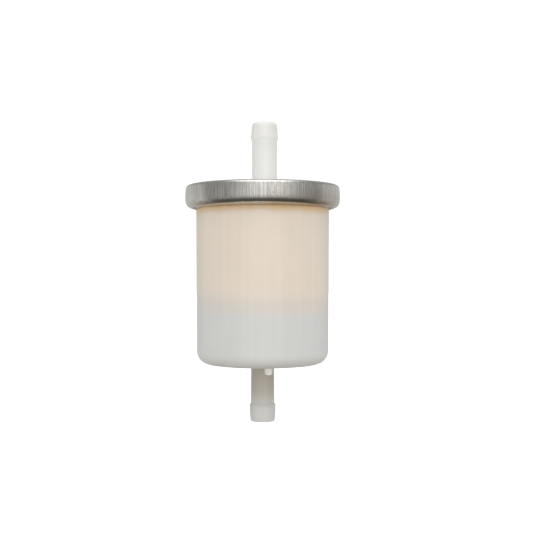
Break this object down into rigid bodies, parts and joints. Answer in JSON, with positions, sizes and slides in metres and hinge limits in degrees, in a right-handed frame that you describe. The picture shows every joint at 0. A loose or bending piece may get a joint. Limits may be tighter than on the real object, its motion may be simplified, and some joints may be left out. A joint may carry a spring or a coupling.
{
  "type": "in-line fuel filter",
  "caption": "Translucent round in-line fuel filter: a moulded cup and lid with a straight hose nipple at each end, clamped by a crimped steel ring round a pleated paper element.",
  "frame": {"origin": "on the flow axis, half way between the ends of the two hose nipples", "axes": "+Z along the flow axis from the inlet nipple towards the outlet nipple; -Y towards the side of the cup's base that carries the gate stub; +X completes the right-handed frame"},
  "size_m": [0.053, 0.053, 0.1024],
  "materials": {
    "milky_nylon": "translucent natural nylon, satin moulded surface",
    "tinned_steel": "tin-coated sheet, fine roll marks across the band, slightly dulled",
    "nitrile_rubber": "matt black nitrile rubber",
    "filter_paper": "resin-treated pleated filter paper, matt",
    "seam_tape": "matt fabric-backed tape",
    "amber_adhesive": "cured amber adhesive, satin",
    "fibre_board": "pressed fibre board, matt",
    "white_nylon": "opaque white moulded nylon, satin"
  },
  "bodies": {
    "root": {"cup": "milky_nylon", "lid": "milky_nylon", "crimp_ring": "tinned_steel", "rim_gasket": "nitrile_rubber", "element_plate": "fibre_board", "outlet_seal": "nitrile_rubber", "top_potting": "amber_adhesive", "filter_paper": "filter_paper", "seam_strip": "seam_tape", "core_tube": "white_nylon", "bottom_potting": "amber_adhesive", "end_cap": "fibre_board"}
  },
  "joints": []
}
